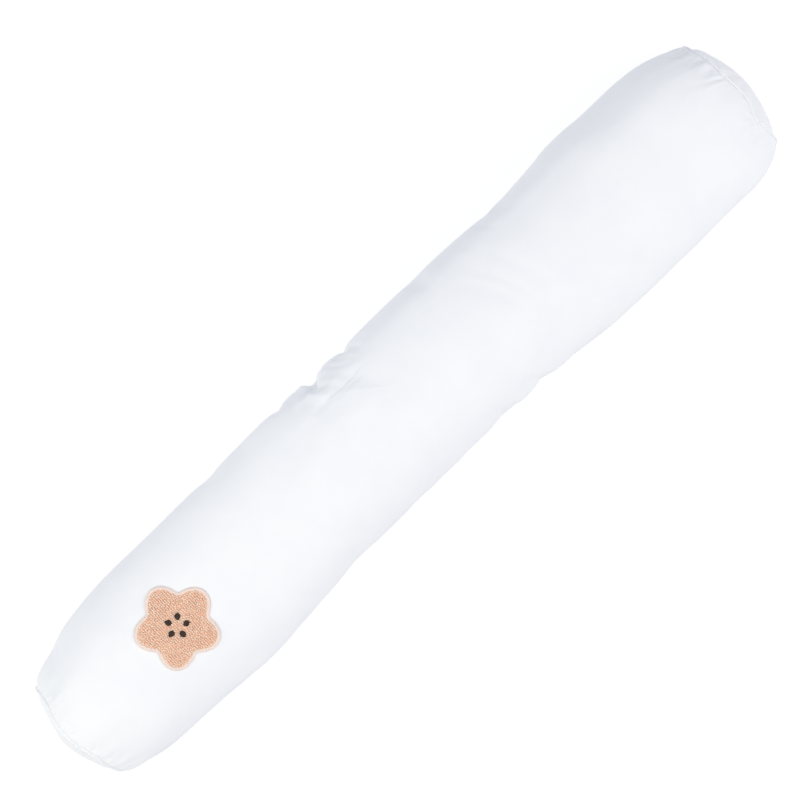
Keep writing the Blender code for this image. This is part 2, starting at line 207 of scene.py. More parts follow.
# Puckers at each ring: from one distance from the ring and girth to another, width and depth
PUCKERS_MINUS_X = (
    (1, 36, 15, 42, 2.4, 0.55), (1, 43, 7, 44, 2.2, -0.5), (0, -1, 12, 0, 1.5, 0.25), (0, -5, 13, -5, 1.4, 0.25),
    (1, -33, 11, -33, 2.6, 0.4), (0, -42, 9, -41, 2, -0.45), (2, -53, 22, -50, 4, 0.55),
    (2, -61, 27, -64, 3, 0.45), (3, -69, 20, -72, 3, -0.3), (4, -74, 16, -77, 2.4, 0.4),
    (6, 74, 24, 79, 2.4, 0.6), (4, 60, 14, 63, 2.6, 0.4), (0, 20, 9, 22, 2, 0.25), (0, 92, 20, 95, 3, 1.1),
    (0, -90, 18, -93, 3.2, 1.2), (0, 112, 22, 113, 3.4, 1.1), (0, -112, 20, -110, 3.4, 1.2),
    (0, 136, 18, 140, 3.2, 1.2), (0, -134, 19, -139, 3, 1.1), (0, 160, 16, 158, 3.4, 1),
    (0, -158, 20, -156, 3.4, 1.1), (0, 182, 17, 182, 3.2, 1.1),
)
PUCKERS_PLUS_X = (
    (0, 67, 32, 80, 1.7, 1.2), (2, 77, 24, 88, 1.8, 0.7), (2, 71, 26, 84, 1.6, -0.8), (0, 48, 14, 50, 2.2, 0.7),
    (0, 38, 31, 35, 5.4, -1.5), (0, 14, 32, 31, 2.6, 0.8), (9, 4, 18, 4, 2.4, 0.2), (0, -38, 14, -50, 2, 1),
    (0, -39, 18, -38, 2, 0.9), (0, -38, 12, -27, 2, 0.7), (2, -33, 10, -33, 2.2, -0.4),
    (3, -58, 18, -54, 3.2, 0.4), (0, 94, 20, 96, 3, 1.2), (0, -84, 18, -86, 3.2, 0.9),
    (0, 118, 21, 116, 3.4, 1.2), (0, -110, 20, -112, 3.4, 1.2), (0, 142, 18, 145, 3.2, 1.1),
    (0, -136, 20, -134, 3.2, 1.2), (0, 165, 19, 163, 3.2, 1.1), (0, -162, 18, -165, 3.2, 1),
)

# The tube's own seam, low on the +Y side, in millimetres: the height, place and width of its lips, the depth and
# width of what it drags in, with the shares that stay and that come and go with its puckers, and their sway
SEAM_WIDTH = 1.1
SEAM_DEPTH = 1.2
SEAM_LIP = (0.35, 2.6, 1.5)
SEAM_DRAG = (0.45, 6, 0.6, 0.4)
SEAM_PUCKER_STEP = 11
SEAM_PUCKER_SWAY = (1.5, 37)

# The part of it that was closed by hand, and how its stitches lie, in millimetres, but their reach in degrees
OPENING = (-50, -4)
LADDER_STEP = 4
LADDER_REACH = 1.5
LADDER_SLANT = 0.7
LADDER_STRAY = 0.2
LADDER_RISE = 0.45
LADDER_ENDS = 0.15
LADDER_THREAD = 0.3 * MM

# The seam at each ring, from the last row of cloth: steps in millimetres towards the axis and out along it. The end
# panel's face starts at PANEL_START of its radius and ends at PANEL_JOIN.
LIP_STEPS = ((0.25, 0.5), (0.85, 0.75), (1.5, 0.55), (2.1, 0.05), (2.6, -0.8), (3.1, -2.0))
PANEL_RIM_STEPS = ((5.2, 2.7), (4.1, 2.6), (3.0, 2.95), (2.0, 3.25), (1.25, 3.15), (0.8, 2.7), (0.9, 2.2), (1.6, 1.6),
                   (2.7, 0.8), (3.8, -0.6))
LIP_WOBBLE = 0.4
LIP_BLUR = 1.5
PANEL_JOIN = (6.4, 3.3)
PANEL_JOIN_POWER = 5
PANEL_ROWS = 34
PANEL_BLUR = (1.5, 2.5)
PANEL_THICKNESS = 1.2 * MM
PANEL_START = 0.02

# Small puckers of each end panel's lower rim: how many, over which degrees, and the spread of their degrees, width,
# depth and reach. A slight wave goes over the whole panel: its height in millimetres, and its runs.
PANEL_PUCKERS = 18
PANEL_PUCKER_DEGREES = (165, 375)
PANEL_PUCKER_SPREAD = ((-4, 4), (3, 6), (0.3, 0.9), (0.15, 0.4))
PANEL_WAVE = (0.5, 17 * MM, 21 * MM)

# Where each end panel swells further: degrees round it, width, how far in millimetres, and how near to the rim, as
# a power of the share of its radius
PANEL_SWELLS = {
    -1: ((18, 34, 2.6, 6), (-140, 60, 2.0, 2), (-172, 30, 3.6, 8)),
    1: ((4, 28, 2.8, 8), (200, 40, 1.0, 2), (190, 30, 2.0, 6)),
}

# Wrinkles of each end panel, from its rim inwards: degrees round it, width, depth in millimetres, and reach as a
# share of its radius
PANEL_WRINKLES = {
    -1: ((103, 1.3, 0.5, 0.5), (62, 4, 0.5, 0.3), (84, 6, -0.4, 0.4), (124, 4, 0.3, 0.3), (141, 5, 0.5, 0.35)),
    1: ((72, 5, 0.9, 0.45), (62, 5, -0.6, 0.4), (83, 4, -0.4, 0.4), (93, 4, 0.6, 0.45), (118, 3, 0.6, 0.3),
        (125, 3, 0.6, 0.3), (48, 5, 0.6, 0.3), (148, 5, 0.5, 0.3)),
}

# The flower patch, as in the frame. The cloth under it is looked up on a grid FIELD_SPAN times as wide as its reach.
# Its ground cloth starts near the middle, at BASE_START, and BASE_EDGE_SHARES thin its edge.
PATCH_X = -308 * MM
PATCH_TURN = math.radians(9)
PETALS = 5
PETAL_REACH = 41 * MM
PETAL_NOTCH = 30 * MM
NOTCH_SOFTNESS = 0.3
FIELD_STEP = 2.5 * MM
FIELD_SPAN = 2.6
BASE_HEIGHT = 0.8 * MM
BASE_UNDERSIDE = 0.2 * MM
BASE_START = 0.02
BASE_EDGE_SHARES = (0.85, 0.6)

# The pile: its rows and steps, and the stray, height, span, lean, twist, turn and thickness of its loops. LOOP_WIDTHS
# is their width at the foot and what it gains to the top. Stitches press the pile down round each seed and along the
# edge, by a share of its height and over a reach.
LOOP_ROWS = 2.25 * MM
LOOP_STEP = 2.05 * MM
LOOP_STRAY = (0.2 * MM, 0.3 * MM)
LOOP_MARGIN = 0.3 * MM
LOOP_HEIGHT = 2.0 * MM
LOOP_HEIGHT_SPREAD = (0.8, 1.2)
LOOP_HALF_SPANS = (0.5, 0.68)
LOOP_WIDTHS = (0.8, 0.45)
LOOP_ROUNDNESS = 0.85
LOOP_LEAN = 0.35 * MM
LOOP_TWIST = 0.28 * MM
LOOP_TURN = 0.5
LOOP_YARN = 0.52 * MM
LOOP_YARN_SPREAD = (0.85, 1.15)
SEED_PRESS = (0.62, 3.8 * MM)
EDGE_PRESS = (0.45, 1.6 * MM)

# The satin stitch lies round a padded core, SATIN_MIDDLE outside the patch's edge. Its threads wrap the core by
# SATIN_WRAP to both sides, in radians, slant along the edge, and stray by SATIN_UNEVEN of a step.
SATIN_STEP = 0.40 * MM
SATIN_UNEVEN = 0.12
SATIN_POINTS = 9
SATIN_MIDDLE = 1.3 * MM
SATIN_HALF_WIDTH = 1.75 * MM
SATIN_RISE = 1.9 * MM
SATIN_FLATNESS = 0.75
SATIN_WRAP = 1.62
SATIN_SLANT = 0.35 * MM
SATIN_STRAY = 0.07 * MM
SATIN_THREAD = 0.24 * MM
SATIN_THREAD_SPREAD = (0.9, 1.1)
SATIN_CORE_DROP = 0.22 * MM

# The seeds: their strands lie side by side over SEED_SPREAD of the width, vary in length, and close in at the ends.
# SEED_HEIGHTS are those of their foot and dome and the dip at their ends, in millimetres.
SEED_RING = 9.5 * MM
SEED_HALF_SIZE = (3.6 * MM, 2.9 * MM)
SEED_STRANDS = 13
SEED_SPREAD = 0.94
SEED_LENGTHS = (0.94, 1.04)
SEED_CLOSING = 0.1
SEED_HEIGHTS = (1.0, 0.9, 0.6)
SEED_ROUNDNESS = 0.96
SEED_THREAD = 0.29 * MM

# Light: soft boxes on three sides, as name, place, size, power and colour, a pale surround, and a floor with a
# glow of its own
SOFT_BOXES = (
    ("left_box", (-1.9, 0, 2.4), 2.0, 23.4, (1.0, 1.0, 0.833)),
    ("near_left_box", (-1.2, 0.6, 1.2), 1.2, 4.8, (1.0, 0.95, 0.80)),
    ("upper_box", (0.1, 1.3, 0.9), 1.0, 1.8, (0.83, 0.97, 1.0)),
    ("right_box", (1.35, -1.3, 2.2), 2.0, 33.0, (1.0, 0.962, 0.88)),
)
WORLD_COLOUR = (0.866, 0.877, 1.0)
WORLD_STRENGTH = 0.534
FLOOR_GLOW = 0.80

# Looks of the yarns: the noise of their tone and where it goes from dark to light, the noise of their fibres and the
# strength of that relief. Then each yarn's dark and light tone, roughness and sheen.
RELIEF = 0.0001
COTTON_TONES = ((0.865, 0.885, 0.92), (0.895, 0.91, 0.935))
COTTON_THREAD = 0.6 * MM
PILE = ({"Scale": 420, "Detail": 2.0, "Roughness": 0.6}, (0.36, 0.64), {"Scale": 5200, "Detail": 2.0}, 0.4)
THREAD = ({"Scale": 900, "Detail": 2.0}, (0.3, 0.7), {"Scale": 4500, "Detail": 1.0}, 0.3)
YARNS = {
    "tan_terry": ((0.98, 0.66, 0.49), (1.0, 0.91, 0.79), 0.95, 0.0, *PILE),
    # the terry's ground: the same tan yarn painted darker, as painted shade in the pits between the loops
    "tan_ground_painted_shade": ((0.76, 0.50, 0.37), (0.88, 0.60, 0.46), 0.95, 0.0, *PILE),
    "cream_thread": ((0.86, 0.69, 0.61), (0.95, 0.86, 0.81), 0.45, 0.2, *THREAD),
    "brown_thread": ((0.030, 0.018, 0.012), (0.065, 0.042, 0.028), 0.5, 0.1, *THREAD),
}


def bell(away):
    """A bell curve of height 1 and width 1."""
    return np.exp(-(away**2))


def unit(vectors):
    """Vectors at a length of 1."""
    return vectors / np.linalg.norm(vectors, axis=-1, keepdims=True)


def blur_weights(sigma):
    """How far a blur reaches, and its weights."""
    reach = int(3 * sigma) + 1
    weights = np.exp(-0.5 * (np.arange(-reach, reach + 1) / sigma) ** 2)
    return reach, weights / weights.sum()


def blurred_rows(grid, sigma):
    """Blurs a grid along its rows' axis. Past its ends the grid goes on with the same slope."""
    reach, weights = blur_weights(sigma)
    before = 2 * grid[:1] - grid[reach:0:-1]
    after = 2 * grid[-1:] - grid[-2:-reach - 2:-1]
    padded = np.concatenate([before, grid, after])
    return sum(w * padded[k:k + len(grid)] for k, w in enumerate(weights))


def blurred_columns(grid, sigma):
    """Blurs a grid round its columns, which close on themselves."""
    reach, weights = blur_weights(sigma)
    return sum(w * np.roll(grid, shift, 1) for shift, w in zip(range(-reach, reach + 1), weights))


def blurred(grid, blur):
    """Blurs a grid over these numbers of rows and columns."""
    return blurred_columns(blurred_rows(grid, blur[0]), blur[1])


def rows_at(grid, places):
    """Rows of a grid at fractional row numbers, on a smooth curve through its own rows."""
    last = len(grid) - 1
    low = np.clip(np.floor(places).astype(int), 0, last - 1)
    t = (places - low)[:, None, None]
    before, start = grid[np.maximum(low - 1, 0)], grid[low]
    end, after = grid[low + 1], grid[np.minimum(low + 2, last)]
    return 0.5 * (2 * start + (end - before) * t + (2 * before - 5 * start + 4 * end - after) * t**2
                  + (3 * start - before - 3 * end + after) * t**3)


def outward(grid):
    """Unit normals of a grid of points, pointing away from the tube's axis."""
    along = np.gradient(grid, axis=0)
    around = np.roll(grid, -1, 1) - np.roll(grid, 1, 1)
    return unit(np.cross(around, along))


def grid_corners(rows, columns):
    """Row and column numbers of the corners of a grid's quads. Its columns close on themselves."""
    i, j = np.meshgrid(np.arange(rows - 1), np.arange(columns), indexing="ij")
    k = (j + 1) % columns
    return (i, j), (i, k), (i + 1, k), (i + 1, j)


def grid_faces(rows, columns):
    """Quads of a grid of points."""
    return np.stack([i * columns + j for i, j in grid_corners(rows, columns)], -1).reshape(-1, 4).tolist()


def placed(name, data):
    """A new object of the scene with this data."""
    made = bpy.data.objects.new(name, data)
    bpy.context.scene.collection.objects.link(made)
    return made


def mesh_object(name, points, faces, finish=None):
    """A smooth mesh object from an array of points and a list of faces."""
    mesh = bpy.data.meshes.new(name)
    mesh.from_pydata(np.asarray(points).reshape(-1, 3).tolist(), [], faces)
    mesh.shade_smooth()
    made = placed(name, mesh)
    if finish:
        mesh.materials.append(finish)
    return made


def tree_of(piece):
    """A search tree over a piece's faces."""
    return BVHTree.FromPolygons([v.co for v in piece.data.vertices], [p.vertices for p in piece.data.polygons])


def make_camera():
    """Straight above the pillow, turned so that its axis lies as in the photograph."""
    camera = placed("camera", bpy.data.cameras.new("camera"))
    camera.data.sensor_width = 36
    camera.data.lens = camera.data.sensor_width * CAMERA_HEIGHT / (PHOTO_PIXELS * PIXEL)
    camera.rotation_euler = (0, 0, AXIS_TURN)
    right = Vector((math.cos(AXIS_TURN), math.sin(AXIS_TURN), 0))
    up = Vector((-math.sin(AXIS_TURN), math.cos(AXIS_TURN), 0))
    middle = PHOTO_PIXELS / 2
    place = right * (middle - ORIGIN_PIXEL[0]) * PIXEL + up * (ORIGIN_PIXEL[1] - middle) * PIXEL
    camera.location = (place.x, place.y, WAIST_HEIGHT + CAMERA_HEIGHT)
    camera.data.clip_end = 100
    bpy.context.scene.camera = camera


def column_angles():
    """Angles of the columns: more of them where the cloth has detail, with one at the crown."""
    degrees = np.arange(-180, 180, 0.05)
    fineness = np.interp(degrees, COLUMN_DEGREES, COLUMN_FINENESS)
    fineness += SEAM_FINENESS * bell((degrees - SEAM_DEGREES) / SEAM_SPREAD)
    share = np.cumsum(fineness)
    share = (share - np.interp(90, degrees, share)) / share[-1]
    return np.radians(np.interp((np.arange(COLUMNS) / COLUMNS + 0.5) % 1 - 0.5, share, degrees, period=1))


def ring_line(table, angles):
    """Stations of a ring's seam at these angles."""
    degrees, stations = zip(*table)
    found = np.interp(np.degrees(angles), degrees, stations, period=360)
    return blurred_columns(found[None], RING_BLUR)[0] * MM


def sampled_skin(angles, ring_minus, ring_plus):
    """Points of the body's own solid on rays from its axis, in even rows from ring to ring."""
    rows = int((ring_plus.mean() - ring_minus.mean()) / SAMPLE_STEP)
    shares = np.linspace(0, 1, rows)[:, None]
    x = ring_minus + (ring_plus - ring_minus) * shares
    tree = tree_of(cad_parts["bolster_body"])
    away = np.empty(x.shape)
    for j, angle in enumerate(angles):
        along = Vector((0, math.cos(angle), math.sin(angle)))
        for i in range(rows):
            start = Vector((x[i, j], 0, WAIST_HEIGHT)) + along * RAY_START
            away[i, j] = RAY_START - tree.ray_cast(start, -along)[3]
    away = blurred(away[..., None], SKIN_BLUR)[..., 0]
    return np.stack([x, away * np.cos(angles), WAIST_HEIGHT + away * np.sin(angles)], -1)


def final_rows(low, high):
    """Row places from 0 to 1 between two stations, at the steps of the table."""
    found = [low]
    while found[-1] < high:
        found.append(found[-1] + np.interp(found[-1] / MM, ROW_PLACES, ROW_STEPS) * MM)
    return (np.array(found) - low) / (found[-1] - low)


def simulate_ease(zone, side):
    """Lets the excess cloth eased into a ring buckle, and returns how far each point moved."""
    rows = len(zone)
    piece = mesh_object("ease", zone, grid_faces(rows, COLUMNS))
    held = piece.vertex_groups.new(name="held")
    held.add(list(range(COLUMNS)) + list(range((rows - EASE_HELD_ROWS) * COLUMNS, rows * COLUMNS)), 1, "REPLACE")
    plain = piece.vertex_groups.new(name="plain")
    for i in range(rows):
        weight = 1 - math.exp(-((i * EASE_STEP / EASE_REACH) ** 2))
        plain.add(list(range(i * COLUMNS, (i + 1) * COLUMNS)), weight, "REPLACE")
    cloth = piece.modifiers.new("cloth", "CLOTH")
    settings = cloth.settings
    settings.quality = 5
    settings.mass = 0.1
    settings.tension_stiffness = 40
    settings.compression_stiffness = 40
    settings.shear_stiffness = 14
    settings.bending_stiffness = 1.2
    settings.use_pressure = True
    settings.uniform_pressure_force = 12 * side
    settings.effector_weights.gravity = 0
    settings.vertex_group_mass = "held"
    settings.vertex_group_shrink = "plain"
    settings.shrink_min = -EASE_SHARE
    settings.shrink_max = 0
    cloth.collision_settings.use_collision = False
    cloth.point_cache.frame_start = 1
    cloth.point_cache.frame_end = EASE_FRAMES
    for number in range(1, EASE_FRAMES + 1):
        bpy.context.scene.frame_set(number)
    settled = piece.evaluated_get(bpy.context.evaluated_depsgraph_get()).to_mesh()
    moved = np.empty(rows * COLUMNS * 3, np.float32)
    settled.vertices.foreach_get("co", moved)
    bpy.data.objects.remove(piece)
    bpy.context.scene.frame_set(1)
    return moved.reshape(rows, COLUMNS, 3).astype(float) - zone


def ease_wrinkles(skin, girth, side):
    """Displacement of the whole skin by the cloth gathered into one ring."""
    rows = len(skin)
    run = np.cumsum(np.linalg.norm(np.diff(skin, axis=0), axis=2).mean(1))
    run = np.concatenate([[0], run])
    if side > 0:
        run = run[-1] - run
    order = np.arange(rows)[::-side]
    steps = np.arange(EASE_ROWS) * EASE_STEP
    places = np.interp(steps, run[order], order.astype(float))
    zone = rows_at(skin, places)
    normals = outward(zone) * -side
    table = PUCKERS_MINUS_X if side < 0 else PUCKERS_PLUS_X
    seeds = pucker_depth(steps[:, None] / MM, rows_at(girth[..., None], places)[..., 0] / MM, table) * MM
    seeds += gather_noise(steps)
    seeds[0] = 0
    start = zone - normals * seeds[..., None]
    moved = simulate_ease(start, -side) + start - zone
    moved -= blurred(moved, EASE_BLUR)
    length, cap = np.linalg.norm(moved, axis=2, keepdims=True), EASE_CAP[side]
    moved *= EASE_GAIN[side] * cap * np.tanh(length / cap) / np.maximum(length, 1e-9)
    moved *= (np.clip(1 - steps / EASE_FADE, 0, 1) ** EASE_FADE_POWER)[:, None, None]
    inside = np.clip(run / EASE_STEP, 0, EASE_ROWS - 1)
    return rows_at(moved, inside) * (run < steps[-1])[:, None, None]


def gather_noise(steps):
    """Small waves round the ring that start the gathers, dying out along the tube."""
    angles = np.arange(COLUMNS) / COLUMNS * math.tau
    waves = sum(rng.normal() * np.cos(count * angles + rng.uniform(0, math.tau)) for count in GATHER_COUNTS)
    return waves[None] * GATHER_HEIGHT * MM * bell(steps / GATHER_REACH)[:, None]


def along_line(x, y, from_x, from_y, to_x, to_y, bow=0):
    """Distance of places on the cloth from a bowed line, negative on its near side, and share of its run."""
    run_x, run_y = to_x - from_x, to_y - from_y
    length = np.hypot(run_x, run_y)
    share = np.clip(((x - from_x) * run_x + (y - from_y) * run_y) / length**2, 0, 1)
    swing = bow * 4 * share * (1 - share) / length
    away_x = x - from_x - run_x * share + run_y * swing
    away_y = y - from_y - run_y * share - run_x * swing
    side = np.where(run_x * away_y - run_y * away_x < 0, -1, 1)
    return side * np.hypot(away_x, away_y), share


def shoulder(across, height, place, narrowness):
    """The fuller cloth beside a crease, as a share of its depth."""
    return height * np.exp(-((across - place) ** 2) * narrowness)


def crease_depth(x, girth):
    """How far the creases draw the cloth in, in millimetres, at places given in millimetres."""
    total = np.zeros(np.broadcast(x, girth).shape)
    for *line, width, depth, keen in CREASES:
        away, share = along_line(x, girth, *line)
        across = np.abs(away) / width
        if keen:
            across = across / np.where(away > 0, LEE_WIDENING, 1)
            rounded = np.sqrt(across**2 + CREASE_ROUNDING**2) - CREASE_ROUNDING
            profile = np.exp(-CREASE_FALL * rounded) - shoulder(across, *CREASE_SHOULDER)
        else:
            profile = bell(across)
        total += depth * profile * np.sqrt(np.clip(4 * share * (1 - share), 0, 1))
    return total


def pucker_depth(run, girth, table):
    """How far the puckers at a ring draw the cloth in, in millimetres."""
    total = np.zeros(np.broadcast(run, girth).shape)
    near, wider = PUCKER_WIDTHS
    for *line, width, depth in table:
        away, share = along_line(run, girth, *line)
        across = np.abs(away) / (width * (near + wider * share))
        profile = bell(across) - shoulder(across, *PUCKER_SHOULDER)
        total += depth * profile * (1 - share**2)
    return total


def girth_of(skin):
    """Distance over the cloth from the crown line, towards +Y, for each point, and the whole way round."""
    steps = np.linalg.norm(np.roll(skin, -1, 1) - skin, axis=2)
    total = np.concatenate([np.zeros((len(skin), 1)), np.cumsum(steps, 1)], 1)
    girth, whole = -total[:, :-1], total[:, -1:]
    return np.where(girth < -whole / 2, girth + whole, girth), whole


def cloth_waves(x, girth):
    """Slight unevenness of the filling and the cloth, in metres."""
    total = np.zeros(x.shape)
    for _ in range(WAVES):
        length = rng.uniform(*WAVE_LENGTHS)
        turn = rng.normal(0, WAVE_TURN)
        phase = rng.uniform(0, math.tau)
        wave = np.cos(math.tau * (x * math.cos(turn) + girth * math.sin(turn)) / length + phase)
        total += wave * rng.normal() * length / WAVE_USUAL_LENGTH * WAVE_HEIGHT
    return total * MM


def seam_depth(x, away):
    """How far the tube's own seam draws the cloth in, in millimetres, at this distance from it."""
    lip_height, lip_place, lip_width = SEAM_LIP
    drag_depth, drag_width, steady, swinging = SEAM_DRAG
    sway, run = SEAM_PUCKER_SWAY
    turned = np.exp(-np.abs(away) / SEAM_WIDTH)
    lips = bell((np.abs(away) - lip_place) / lip_width)
    puckers = steady + swinging * np.cos(math.tau * x / SEAM_PUCKER_STEP + sway * np.sin(x / run))
    drag = bell(away / drag_width) * puckers
    return SEAM_DEPTH * turned - lip_height * lips + drag_depth * drag


def sagged(skin):
    """The tube's cloth with its +Y flank let down, or lifted, at the places of the table."""
    x, y, z = np.moveaxis(skin, 2, 0) / MM
    share = np.clip((y - SAG_START) / SAG_SPAN, 0, 1)
    flank = share * share * (3 - 2 * share) * np.clip(z / SAG_FOOT, 0, 1)
    down = sum(depth * bell((x - place) / reach) for place, reach, depth in SAGS)
    return skin - np.stack([0 * x, 0 * x, flank * down * MM], -1)


def make_skin():
    """The tube's cloth as a grid of points from ring to ring, with its girth map."""
    angles = column_angles()
    ring_minus = ring_line(RING_LINE_MINUS_X, angles) + RING_INSET
    ring_plus = ring_line(RING_LINE_PLUS_X, angles) - RING_INSET
    skin = sampled_skin(angles, ring_minus, ring_plus)
    places = final_rows(ring_minus.mean(), ring_plus.mean()) * (len(skin) - 1)
    girth, _ = girth_of(skin)
    moved = np.zeros(skin.shape)
    moved = ease_wrinkles(skin, girth, -1) + ease_wrinkles(skin, girth, 1)
    skin = sagged(rows_at(skin + moved, places))
    girth, whole = girth_of(skin)
    x = skin[..., 0]
    depth = crease_depth(x / MM, girth / MM) * MM + cloth_waves(x / MM, girth / MM)
    for ring, table in ((ring_minus, PUCKERS_MINUS_X), (ring_plus, PUCKERS_PLUS_X)):
        depth += pucker_depth(np.abs(x - ring) / MM, girth / MM, table) * MM
    seam = np.argmin(np.abs(angles - math.radians(SEAM_DEGREES)))
    depth += seam_depth(x / MM, (girth - girth[:, seam:seam + 1]) / MM) * MM
    edge = np.minimum(np.abs(x - ring_minus), np.abs(x - ring_plus))
    skin = skin - outward(skin) * (depth * np.clip(edge / EDGE_FADE, EDGE_SHARE, 1))[..., None]
    skin[..., 2] = np.maximum(skin[..., 2], FLOOR_GAP)
    return skin, girth, whole


def ring_rows(last, side, steps):
    """Rows of cloth that follow a ring, at steps towards the axis and out along it."""
    middle = last.mean(0)
    inward = middle - last
    inward[:, 0] = 0
    inward = unit(inward)
    wobble = blurred_columns(np.random.default_rng(11 + side).normal(size=(1, COLUMNS)), LIP_BLUR)[0][:, None]
    return [last + inward * towards * MM + np.array([side, 0, 0]) * (out + LIP_WOBBLE * wobble) * MM
            for towards, out in steps]


def degrees_from(degrees, turn):
    """How far places round a ring are from one of them, at most half a turn either way."""
    return (degrees - turn + 180) % 360 - 180


def panel_surface(node, last, side):
    """Rows of the end panel's outer face, from its middle to near the ring, with its wrinkles."""
    tree = tree_of(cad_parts[node])
    low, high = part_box(node)
    middle = np.array([0, (low.y + high.y) / 2, (low.z + high.z) / 2])
    rim = last * (0, 1, 1)
    towards, out = PANEL_JOIN
    rim = middle + (rim - middle) * (1 - towards * MM / np.linalg.norm(rim - middle, axis=1, keepdims=True))
    shares = np.linspace(PANEL_START, 1, PANEL_ROWS)
    rows = np.empty((PANEL_ROWS, COLUMNS, 3))
    for i, share in enumerate(shares):
        for j in range(COLUMNS):
            place = middle + (rim[j] - middle) * share
            found = tree.ray_cast(Vector((side, place[1], place[2])), Vector((-side, 0, 0)))
            rows[i, j] = (found[0].x if found[0] else np.nan, place[1], place[2])
    for column in rows[..., 0].T:
        good = ~np.isnan(column)
        column[:] = np.interp(shares, shares[good], column[good])
    rows[..., 0] = blurred(rows[..., :1], PANEL_BLUR)[..., 0]
    rows[..., 0] += (last[:, 0] + side * out * MM - rows[-1, :, 0]) * shares[:, None] ** PANEL_JOIN_POWER
    degrees = np.degrees(np.arctan2(rim[:, 2] - middle[2], rim[:, 1] - middle[1]))
    wrinkles = list(PANEL_WRINKLES[side])
    for turn in np.linspace(*PANEL_PUCKER_DEGREES, PANEL_PUCKERS):
        swing, width, deep, reach = (rng.uniform(*spread) for spread in PANEL_PUCKER_SPREAD)
        wrinkles.append((turn + swing, width, deep, reach))
    depth = np.zeros((PANEL_ROWS, COLUMNS))
    for turn, width, swell, power in PANEL_SWELLS[side]:
        away = degrees_from(degrees, turn) / width
        full = (1 - shares) * shares**power
        depth -= swell * bell(away) * (full / full.max())[:, None]
    for turn, width, deep, reach in wrinkles:
        away = degrees_from(degrees, turn) / width
        depth += deep * bell(away) * bell((1 - shares[:, None]) / reach)
    height, run_y, run_z = PANEL_WAVE
    depth += height * np.cos(rows[..., 1] / run_y + 1) * np.cos(rows[..., 2] / run_z)
    rows[..., 0] -= side * depth * MM
    return rows


def closed_faces(rows, columns, flip=False):
    """Quads of a grid and the fans that close its ends onto two pole points, which come after the grid's own."""
    faces = grid_faces(rows, columns)
    first, last_row = rows * columns, (rows - 1) * columns
    faces += [(first, (j + 1) % columns, j) for j in range(columns)]
    faces += [(first + 1, last_row + j, last_row + (j + 1) % columns) for j in range(columns)]
    return [face[::-1] for face in faces] if flip else faces


def add_cloth_map(mesh, x, girth, whole):
    """A UV map in metres of cloth: along the tube, and round it."""
    layer = mesh.uv_layers.new(name="cloth")
    values = np.zeros((len(mesh.loops), 2), np.float32)
    corners = grid_corners(*x.shape)
    across = np.stack([girth[a, b] for a, b in corners], -1)
    jump = across.max(-1) - across.min(-1) > whole.mean() / 2
    across = np.where(jump[..., None] & (across < 0), across + whole.mean(), across)
    along = np.stack([x[a, b] for a, b in corners], -1)
    values[:across.size, 0] = along.reshape(-1)
    values[:across.size, 1] = across.reshape(-1)
    layer.data.foreach_set("uv", values.reshape(-1))


def shader(name, colour, roughness, sheen=0.0):
    """A new material with its Principled shader's plain values set."""
    made = bpy.data.materials.new(name)
    made.use_nodes = True
    principled = made.node_tree.nodes["Principled BSDF"]
    principled.inputs["Base Color"].default_value = (*colour, 1)
    principled.inputs["Roughness"].default_value = roughness
    principled.inputs["Specular IOR Level"].default_value = 0.25
    principled.inputs["Sheen Weight"].default_value = sheen
    principled.inputs["Sheen Roughness"].default_value = 0.5
    return made, made.node_tree, principled


def node_of(tree, kind, **values):
    """A new node with its input values set by name."""
    made = tree.nodes.new(kind)
    for name, value in values.items():
        made.inputs[name].default_value = value
    return made


def add_tone(tree, principled, place, noise, span, dark, light):
    """Base colour that wanders from dark to light with a noise."""
    tone = node_of(tree, "ShaderNodeTexNoise", **noise)
    tree.links.new(place, tone.inputs["Vector"])
    ramp = tree.nodes.new("ShaderNodeValToRGB")
    for stop, position, colour in zip(ramp.color_ramp.elements, span, (dark, light)):
        stop.position = position
        stop.color = (*colour, 1)
    tree.links.new(tone.outputs["Fac"], ramp.inputs["Fac"])
    tree.links.new(ramp.outputs["Color"], principled.inputs["Base Color"])


def add_relief(tree, principled, height, strength):
    """Fine relief of threads or fibres."""
    bump = node_of(tree, "ShaderNodeBump", **{"Strength": strength, "Distance": RELIEF})
    tree.links.new(height, bump.inputs["Height"])
    tree.links.new(bump.outputs["Normal"], principled.inputs["Normal"])


def cotton_material():
    """Plain-woven white cotton: fine threads both ways, slubs, and a slight unevenness of tone."""
    made, tree, principled = shader("white_cotton", (0.88, 0.90, 0.93), 0.9)
    place = tree.nodes.new("ShaderNodeUVMap")
    place.uv_map = "cloth"
    weave = tree.nodes.new("ShaderNodeMath")
    weave.operation = "MULTIPLY"
    for number, direction in enumerate("XY"):
        wave = node_of(tree, "ShaderNodeTexWave", **{"Scale": 0.5 / (COTTON_THREAD * math.tau), "Distortion": 1.5,
                                                     "Detail": 1.0, "Detail Scale": 0.4})
        wave.bands_direction = direction
        tree.links.new(place.outputs[0], wave.inputs["Vector"])
        tree.links.new(wave.outputs["Fac"], weave.inputs[number])
    add_relief(tree, principled, weave.outputs[0], 0.25)
    noise = {"Scale": 22, "Detail": 3.0, "Roughness": 0.55}
    add_tone(tree, principled, place.outputs[0], noise, (0.3, 0.7), *COTTON_TONES)
    return made


def yarn_material(name, dark, light, roughness, sheen, tone, span, fibre, relief):
    """Yarn whose tone changes a little from place to place, with fine fibres."""
    made, tree, principled = shader(name, light, roughness, sheen)
    place = tree.nodes.new("ShaderNodeTexCoord").outputs["Object"]
    add_tone(tree, principled, place, tone, span, dark, light)
    fibres = node_of(tree, "ShaderNodeTexNoise", **fibre)
    tree.links.new(place, fibres.inputs["Vector"])
    add_relief(tree, principled, fibres.outputs["Fac"], relief)
    return made


